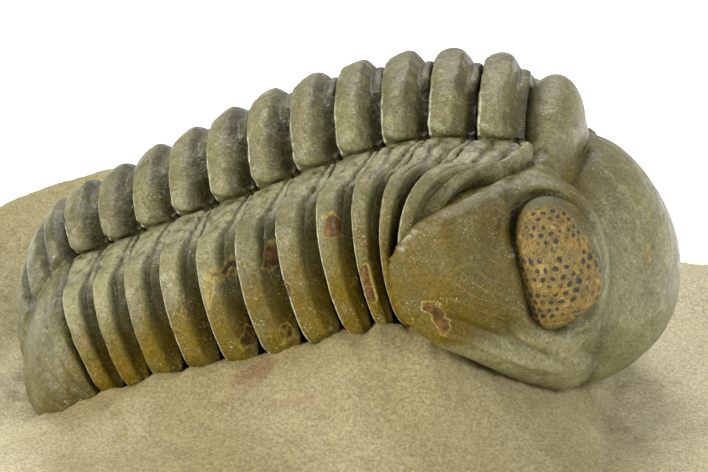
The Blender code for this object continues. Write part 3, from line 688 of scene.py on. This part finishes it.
# The tail shield: the trunk's last cross-section drawn down to a rounded margin on the stone, bulging out
# on the way, with rings across its axis, and fainter ribs beside it, that die out towards the back.
def makeTail():
    t = np.linspace(-1, 1, tail["across"])
    qs, ts = np.meshgrid(np.linspace(0, 1, tail["rows"]), t, indexing="ij")
    first = trunkSkin(segment["count"] + segment["gap"] / 2 + 0 * t, t)
    swing = np.sign(t) * np.abs(t) ** tail["narrowing"] * np.pi / 2
    reach = 1 - np.cos(swing)
    (backX, backZ), (cornerX, cornerZ) = tail["back"], tail["corner"]
    margin = np.stack([backX + (cornerX - backX) * reach, trunk["half"][-1] * np.sin(swing),
                       backZ + (cornerZ - backZ) * reach ** 2], -1)
    grid = first[None] + (margin - first)[None] * qs[..., None]
    away = grid - np.array(tail["heart"])
    away /= np.linalg.norm(away, axis=-1, keepdims=True)
    bulge = tail["bulge"] * np.sin(np.pi * qs) ** 0.8 * (1 - np.abs(ts) ** 6)
    size = np.abs(ts)
    onAxis = 1 - ease(trunk["ringShare"] - 0.05, trunk["ringShare"] + 0.02, size)
    phase = tail["rings"] * qs ** 0.9
    groove = bell(phase - np.round(phase), 0.14) * ease(0.4, 0.6, phase)
    groove = groove * (1 - ease(0.35, 0.8, qs))
    relief = -groove * (tail["ringRelief"] * onAxis + tail["ribRelief"] * (1 - onAxis)) - tail["sink"]
    relief = relief + tail["axisRise"] * onAxis * (1 - ease(0.55, 0.95, qs))
    relief = relief + tail["step"] * ease(0.0, 0.06, qs)
    relief = relief + tail["roughness"] * noise(grid, 1.4, 3, 140)
    grid = grid + away * (bulge + relief)[..., None]
    under = np.stack([first, margin]) - np.stack([away[0], away[-1]]) * tail["wall"]
    grid = np.concatenate([under[:1], grid, under[1:]])
    qs, size, groove = (withEnds(values) for values in (qs, size, groove * onAxis))
    marks = dict.fromkeys(("worn", "broken", "paintedLight", "edgeHighlight", "facetShade"), 0 * qs)
    marks["ochre"] = 0.6 * ease(0.55, 0.95, size) + 0.3 * ease(0.7, 1.0, qs)
    # Painted shade at the tail's front edge and in its ring grooves.
    marks["shadeInCreases"] = limit(1 - ease(0, 0.04, qs) + 0.7 * groove)
    makePiece("tailShield", grid, tubeFaces(*grid.shape[:2]), shellMaterial, ["pygidium"], marks)


# The head is a soft union of egg shapes (x, y, z, three half-axes, lean) and of rolls along lines of points.
head = dict(
    middle=(8.6, 0.0, 0.5),
    eggs=((10.5, 0.0, -0.8, 5.55, 7.2, 6.1, 45.0), (11.05, 0.0, 1.45, 3.7, 5.0, 3.95, 0.0),
          (9.5, 0.0, 5.15, 1.85, 4.6, 3.4, -10.0), (6.8, 5.2, 1.4, 4.2, 6.2, 4.2, 0.0),
          (5.2, 9.9, 2.1, 2.4, 2.4, 2.7, -30.0), (8.4, 4.5, -1.0, 4.6, 5.6, 4.0, -30.0)),
    backBorder=((9.6, 5.0, 5.2), (8.0, 8.0, 5.1), (5.8, 10.4, 4.6), (3.9, 11.7, 3.8), (3.3, 12.0, 2.9)),
    sideBorder=((3.3, 12.0, 2.9), (3.8, 11.9, 1.0), (5.6, 11.3, -0.5), (8.2, 9.9, -2.1),
                (10.8, 7.6, -3.8), (12.3, 4.5, -4.5), (12.7, 0.0, -4.8)),
    border=0.75, blend=0.35, pole=(-0.75, 0, -0.66), rings=300, spokes=330, valley=0.22, valleyDepth=0.16,
    roughness=0.035, edgeHalf=0.09, socketGap=0.12,
    chip=((4.6, 12.3, 1.2), (5.0, 12.2, 0.9), (5.5, 12.1, 0.2)), chipHalf=0.30,
    scar=((14.9, 4.0, 1.3), (14.85, 4.3, 0.9)), scarHalf=0.24)
eye = dict(right=(10.35, -8.9, 2.3), left=(10.35, 8.6, 0.7), half=(2.15, 1.75, 3.25), lean=11.0,
           moundInward=1.5, moundBelow=0.3, moundHalf=(2.5, 2.9, 3.9), pitch=0.45, lens=0.145, dome=0.05,
           tall=2.9, wide=2.0, jitter=0.06, roughness=0.015, rings=150, spokes=170)


def eggDepth(p, egg):
    half, lean = np.array(egg[3:6]), np.radians(egg[6])
    d = p - np.array(egg[:3])
    turned = np.stack([d[..., 0] * np.cos(lean) + d[..., 2] * np.sin(lean), d[..., 1],
                       d[..., 2] * np.cos(lean) - d[..., 0] * np.sin(lean)], -1)
    size = np.linalg.norm(turned / half, axis=-1)
    slope = np.linalg.norm(turned / half ** 2, axis=-1) + 1e-9
    return size * (1 - size) / slope


# Distance to a line of points, the least over its straight pieces.
def lineDistance(p, line):
    best = np.full(p.shape[:-1], 1e9)
    for a, b in zip(np.array(line[:-1], float), np.array(line[1:], float)):
        u = limit(((p - a) @ (b - a)) / ((b - a) @ (b - a)))
        best = np.minimum(best, np.linalg.norm(p - a - u[..., None] * (b - a), axis=-1))
    return best


# The mound under each eye.
def moundDepth(p):
    mounds = []
    for x, y, z in (eye["right"], eye["left"]):
        y = y - np.sign(y) * eye["moundInward"]
        mounds.append(eggDepth(p, (x, y, z - eye["moundBelow"], *eye["moundHalf"], eye["lean"])))
    return np.maximum(*mounds)


# Depth inside the head: the soft maximum k ln(sum(exp(depth / k))) over its eggs and rolls.
def headDepth(p):
    folded = p * (1, np.nan, 1)
    folded[..., 1] = np.abs(p[..., 1])
    parts = [moundDepth(p)] + [eggDepth(folded, egg) for egg in head["eggs"]]
    parts += [head["border"] - lineDistance(folded, head[k]) for k in ("backBorder", "sideBorder")]
    parts = np.stack(parts) / head["blend"]
    top = parts.max(0)
    return head["blend"] * (top + np.log(np.exp(parts - top).sum(0)))


# Distance along each direction to the outermost surface: coarse steps inwards, then halving.
def outermost(depth, middle, directions, reach=12.5, steps=64):
    radii = np.linspace(reach, 0.5, steps)
    found = np.full(len(directions), radii[-1])
    for radius in radii[::-1]:
        found = np.where(depth(middle + directions * radius) > 0, radius, found)
    low, high = found, found + (reach - 0.5) / (steps - 1)
    for _ in range(12):
        half = (low + high) / 2
        inside = depth(middle + directions * half[:, None]) > 0
        low, high = np.where(inside, half, low), np.where(inside, high, half)
    return low


# Unit directions of a ball on a grid of latitude and longitude about a pole, the poles as single points.
def ballDirections(rings, spokes, pole):
    latitude = np.pi * np.arange(1, rings) / rings
    around = 2 * np.pi * np.arange(spokes) / spokes
    pole = np.array(pole, float) / np.linalg.norm(pole)
    side = np.array([0.0, 1.0, 0.0])
    third = np.cross(pole, side)
    lat, lon = np.meshgrid(latitude, around, indexing="ij")
    body = (np.cos(lat)[..., None] * pole + (np.sin(lat) * np.cos(lon))[..., None] * side
            + (np.sin(lat) * np.sin(lon))[..., None] * third)
    return np.concatenate([pole[None], body.reshape(-1, 3), -pole[None]])


def ballFaces(rings, spokes):
    around = np.arange(spokes)
    after, last = (around + 1) % spokes, (rings - 1) * spokes + 1
    first = np.stack([0 * around, 1 + around, 1 + after], -1)
    end = np.stack([0 * around + last, last - spokes + after, last - spokes + around], -1)
    quads = 1 + gridQuads(rings - 1, spokes, wrapColumns=True)[:, ::-1]
    return quads.tolist() + first.tolist() + end.tolist()


# Forms too small for the eggs, drawn along lines of points on the head's surface, after their height and half
# their width: those on both sides of the head, and those seen only on the animal's right.
headLines = dict(
    ridgeBehindEye=(0.22, 0.45, (9.7, 8.2, 5.7), (9.0, 8.6, 5.2), (8.4, 9.1, 4.6), (8.0, 9.9, 4.0)),
    eyelid=(0.14, 0.12, (10.9, 7.3, 5.7), (11.5, 7.9, 5.1), (12.0, 8.6, 3.9), (12.4, 8.8, 2.6),
            (12.75, 8.6, 1.3)),
    eyelidFurrow=(-0.16, 0.22, (11.3, 6.9, 5.6), (11.9, 7.6, 4.9), (12.4, 8.1, 3.8), (12.75, 8.3, 2.6),
                  (13.0, 8.2, 1.3)),
    backBorder=(0.14, 0.22, (9.3, 6.6, 5.7), (7.2, 9.8, 5.3), (5.0, 11.7, 4.6), (3.6, 12.5, 3.9)),
    backFurrow=(-0.09, 0.40, (9.8, 6.9, 4.9), (8.4, 9.4, 4.1), (6.4, 11.2, 3.6), (4.9, 12.2, 2.9)),
    borderFurrow=(-0.34, 0.24, (5.0, 12.1, 0.9), (6.4, 11.5, 0.0), (7.07, 11.15, -0.45),
                  (7.98, 10.67, -1.0), (9.1, 10.2, -1.65), (10.1, 9.7, -2.2)),
    borderRim=(0.26, 0.26, (5.6, 11.9, -0.1), (6.63, 11.5, -0.55), (7.63, 11.0, -1.2), (8.7, 10.5, -1.9),
               (9.6, 9.9, -2.5), (10.75, 9.0, -3.0)),
    frontLobe=(0.22, 0.35, (10.7, 9.2, -2.1), (11.4, 8.3, -2.7), (12.1, 6.9, -3.4)),
    glabellaFurrow=(-0.22, 0.40, (12.7, 8.6, 1.2), (12.5, 8.8, 0.4), (12.1, 9.0, -0.3), (11.9, 8.6, -1.2),
                    (11.9, 7.9, -2.2), (12.1, 7.0, -3.2)),
    occipitalPit=(-0.35, 0.45, (11.0, 2.2, 5.1), (11.35, 1.2, 5.0)),
    sidePit=(-0.40, 0.40, (10.3, 4.0, 6.2), (10.9, 3.2, 5.3)))
rightLines = dict(
    foldBehindEye=(-0.14, 0.16, (7.6, 9.95, 4.3), (7.9, 8.9, 4.9), (8.4, 8.0, 5.5), (8.75, 7.3, 5.9)),
    foldByEye=(0.10, 0.14, (7.85, 10.0, 4.1), (8.2, 9.15, 4.65), (8.7, 8.6, 5.1), (9.3, 8.45, 5.5)),
    tubercle=(0.24, 0.22, (8.47, 10.35, -0.46), (8.8, 10.2, -0.8), (9.17, 10.1, -1.08)),
    tubercleFurrow=(-0.16, 0.14, (8.2, 10.5, -0.1), (8.4, 10.4, -0.75), (8.9, 10.2, -1.3)),
    scar=(-0.12, 0.13, (14.78, 4.1, 1.2), (14.7, 4.45, 0.8)),
    lowerScar=(-0.10, 0.14, (14.65, 4.95, -0.3), (14.95, 4.6, -0.85)),
    smallPit=(-0.14, 0.12, (7.1, 11.2, 0.45), (7.2, 11.15, 0.4)),
    besideEye=(-0.10, 0.10, (12.7, 8.2, 2.7), (12.8, 8.2, 2.2)))


# Edges with a painted highlight along them: over the eye, behind it, and along the back of the cheek.
highlightEdges = (((10.2, 6.4, 6.1), (11.2, 7.55, 5.35), (11.6, 8.0, 4.9), (12.0, 8.4, 4.2), (12.3, 8.65, 3.4),
              (12.6, 8.6, 2.5), (12.8, 8.15, 1.3)),
             ((10.0, 8.65, 5.5), (9.55, 8.85, 5.3), (9.1, 9.1, 4.9), (8.75, 9.5, 4.25), (8.55, 10.0, 3.65),
              (8.5, 10.4, 3.05)),
             ((9.1, 5.35, 6.0), (8.35, 6.8, 5.95), (7.5, 8.05, 5.8), (6.4, 9.3, 5.55), (5.1, 10.6, 5.2),
              (4.0, 11.25, 4.7), (3.1, 11.9, 4.1), (2.8, 12.35, 3.75)))


# How near the surface is to a valley between two groups of eggs: a bell of the difference of their depths.
def headCrease(p):
    folded = p * (1.0, 0.0, 1.0)
    folded[..., 1] = np.abs(p[..., 1])
    eggs = [eggDepth(folded, egg) for egg in head["eggs"]]
    groups = [np.maximum(eggs[0], eggs[1]), eggs[2], np.max(eggs[3:6], axis=0), moundDepth(p)]
    ranked = np.sort(np.stack(groups), axis=0)
    return bell(ranked[-1] - ranked[-2], head["valley"])


def onHead(line):
    points = np.array(line, float)
    knots = np.linspace(0, len(points) - 1, 6 * (len(points) - 1) + 1)
    fine = np.stack([np.interp(knots, np.arange(len(points)), points[:, i]) for i in range(3)], -1)
    middle = np.array(head["middle"])
    direction = (fine - middle) / np.linalg.norm(fine - middle, axis=1, keepdims=True)
    return middle + direction * outermost(headDepth, middle, direction)[:, None]


def makeHead():
    middle = np.array(head["middle"])
    directions = ballDirections(head["rings"], head["spokes"], head["pole"])
    radii = outermost(headDepth, middle, directions)
    points = middle + directions * radii[:, None]
    folded = np.abs(points * (0, 1, 0)) + points * (1, 0, 1)  # both sides on one
    right = points * (1, -1, 1)
    crease = headCrease(points)
    shift = head["roughness"] * noise(points, 1.6, 4, 160) - head["valleyDepth"] * crease
    for forms, near in ((headLines, folded), (rightLines, right)):
        for rise, half, *line in forms.values():
            shift = shift + rise * bell(lineDistance(near, onHead(line)), half)
    grown = [h + head["socketGap"] for h in eye["half"]]
    socket = np.maximum(*[eggDepth(points, (*eye[k], *grown, eye["lean"])) for k in ("right", "left")])
    behind = ease(11.6, 9.6, folded[:, 0]) + 0.6 * ease(0.6, -0.8, folded[:, 2])
    behind = limit(behind)
    groove = bell(socket + 0.09, 0.11 + 0.08 * behind)
    shift = shift - (0.20 + 0.60 * behind) * groove
    points = points + directions * shift[:, None]
    points[:, 2] = np.maximum(points[:, 2], stoneHeight(points[:, 0], points[:, 1]) - 1.0)
    x, y, z = folded.T
    onCheek = ease(12.5, 11.0, x) * ease(6.5, 4.5, z)
    onBorder = ease(-0.2, -1.4, z)
    ochre = onCheek * (0.60 + 0.4 * ease(9.0, 4.5, x) * ease(6.0, 1.0, z))
    # A painted highlight along the edges listed above.
    edgeHighlight = 0.6 * sum(bell(lineDistance(right, onHead(line)), head["edgeHalf"]) for line in highlightEdges)
    chip, scar = (lineDistance(right, onHead(head[k])) for k in ("chip", "scar"))
    ragged = 0.22 * noise(points, 0.5, 3, 210)
    broken = 0.9 * np.exp(-(((chip + ragged) / head["chipHalf"]) ** 4))
    # Painted light: the front of the head and its top paler where light falls.
    paintedLight = np.maximum(0.45 * ease(11.0, 14.0, x), 0.25 * ease(5.5, 6.5, z))
    marks = {"ochre": ochre * (1 - 0.75 * onBorder) + 0.12, "worn": 0.15 * ease(5.0, 6.5, z),
             "broken": broken + 0.56 * bell(scar + 1.5 * ragged, head["scarHalf"]),
             # Painted shade in the groove round each eye and in the valleys between the head's swellings.
             "shadeInCreases": limit(0.75 * groove * (0.4 + 0.6 * behind) + 0.35 * crease),
             # Painted light on the cheek's lower border, which faces down into shade, and a painted highlight
             # along edges.
             "paintedLight": paintedLight + 0.9 * onCheek * onBorder, "edgeHighlight": limit(edgeHighlight),
             # Painted shade on the lower cheek, less on its border.
             "facetShade": 0.55 * onCheek * ease(6.0, 4.0, z) * (1 - 0.8 * onBorder)}
    makePiece("headShield", points, ballFaces(head["rings"], head["spokes"]), shellMaterial,
              ["cephalon"], marks)


# The eye is an egg covered in lenses: shallow domes whose middles stand in staggered rows a pitch apart.
def makeEye(name, node, middle):
    side = np.sign(middle[1])
    directions = ballDirections(eye["rings"], eye["spokes"], (0, 0, 1))
    half = np.array(eye["half"])
    local = directions * half
    polar = np.arccos(np.clip(directions[:, 2], -1, 1))
    around = np.arctan2(directions[:, 0], directions[:, 1] * side)
    height = polar * eye["tall"]
    rowStep = eye["pitch"] * np.sqrt(3) / 2
    row = np.round(height / rowStep)
    offset = 0.5 * (row % 2)
    girth = np.maximum(np.sin(row * rowStep / eye["tall"]), 0.15) * eye["wide"]
    column = around * girth / eye["pitch"] - offset
    spot = local + side * 20  # each eye its own noise
    jitter = [eye["jitter"] * noise(spot + k, 0.5, 2, 180) for k in (0, 9)]
    gapAcross = (column - np.round(column)) * eye["pitch"] + jitter[0]
    gapDown = height - row * rowStep + jitter[1]
    d = np.hypot(gapAcross, gapDown) / (eye["lens"] * (1 + 0.25 * noise(spot, 1.0, 2, 190)))
    lens = limit(1 - d ** 2)
    ragged = 0.14 * noise(spot, 0.7, 3, 200)
    facing = ease(0.10, 0.40, directions[:, 1] * side)
    facing = facing * ease(1.26, 1.04, np.abs(polar - np.pi / 2) + ragged)
    forward, backward = limit(directions[:, 0]), limit(-directions[:, 0])
    local[:, 0] *= 1 - 0.30 * forward * directions[:, 2] - 0.16 * backward
    local[:, 0] -= 0.55 * ease(-0.5, -1.0, directions[:, 2])
    rise = eye["dome"] * np.sqrt(lens) * facing
    rise = rise + eye["roughness"] * noise(local + side * 20, 0.5, 2, 170)
    local = local + directions * rise[:, None]
    lean = np.radians(eye["lean"])
    x = local[:, 0] * np.cos(lean) - local[:, 2] * np.sin(lean)
    z = local[:, 0] * np.sin(lean) + local[:, 2] * np.cos(lean)
    points = np.stack([x, local[:, 1], z], -1) + middle
    marks = {"lens": ease(0.0, 0.35, lens) * facing, "rim": 0.9 * (1 - facing),
             "ring": bell(d - 1.25, 0.28) * facing}
    makePiece(name, points, ballFaces(eye["rings"], eye["spokes"]), eyeMaterial, [node], marks)


makeStone()
makeHead()
makeEye("eyeRight", "eye_right", eye["right"])
makeEye("eyeLeft", "eye_left", eye["left"])
for number in range(segment["count"]):
    makeSegment(number)
makeTail()

# Camera of the photo: by the animal's right side, a little above it and towards its head, with a long lens.
camera = dict(azimuth=6.0, elevation=20.0, distance=160.0, pixelsPerMm=20.0, width=708, sensor=36.0)


def addCamera():
    turn, rise = np.radians(camera["azimuth"]), np.radians(camera["elevation"])
    back = np.array([np.sin(turn) * np.cos(rise), -np.cos(turn) * np.cos(rise), np.sin(rise)])
    data = bpy.data.cameras.new("photoCamera")
    data.sensor_width = camera["sensor"]
    data.lens = camera["distance"] * camera["pixelsPerMm"] / camera["width"] * camera["sensor"]
    data.clip_start, data.clip_end = 0.005, 10.0
    obj = bpy.data.objects.new("photoCamera", data)
    obj.location = Vector(put(back * camera["distance"]))
    obj.rotation_euler = Vector(back).to_track_quat("Z", "Y").to_euler()
    bpy.context.scene.collection.objects.link(obj)
    bpy.context.scene.camera = obj


def addFloor():
    far = 3.0  # metres from the middle to a side
    mesh = bpy.data.meshes.new("floor")
    mesh.from_pydata([(-far, -far, 0), (far, -far, 0), (far, far, 0), (-far, far, 0)], [], [(0, 1, 2, 3)])
    floor = bpy.data.objects.new("floor", mesh)
    material, tree, place = startMaterial("whitePaper")
    setInputs(tree, tree.nodes["Principled BSDF"], {
        "Base Color": (0.93, 0.93, 0.93, 1), "Roughness": 0.9, "Emission Color": (1, 1, 1, 1),
        "Emission Strength": 0.55})
    mesh.materials.append(material)
    bpy.context.scene.collection.objects.link(floor)


def addSoftbox(name, place, aim, size, watts):
    data = bpy.data.lights.new(name, "AREA")
    data.shape, data.size, data.energy = "DISK", size, watts
    lamp = bpy.data.objects.new(name, data)
    lamp.location = Vector(put(place))
    lamp.rotation_euler = (lamp.location - Vector(put(aim))).to_track_quat("Z", "Y").to_euler()
    bpy.context.scene.collection.objects.link(lamp)


addCamera()
addFloor()
addSoftbox("softboxLeft", (-195, -118, 85), (0, 0, 0), 0.08, 0.56)
addSoftbox("softboxBehind", (-20, 160, 200), (0, 0, 0), 0.16, 0.34)
addSoftbox("softboxRight", (190, -90, 130), (0, 0, 0), 0.12, 0.30)
world = bpy.data.worlds.new("studio")
world.use_nodes = True
world.node_tree.nodes["Background"].inputs["Color"].default_value = (1, 1, 1, 1)
world.node_tree.nodes["Background"].inputs["Strength"].default_value = 0.36
bpy.context.scene.world = world
bpy.context.scene.view_settings.view_transform = "Standard"
print("camera, floor and lights placed")
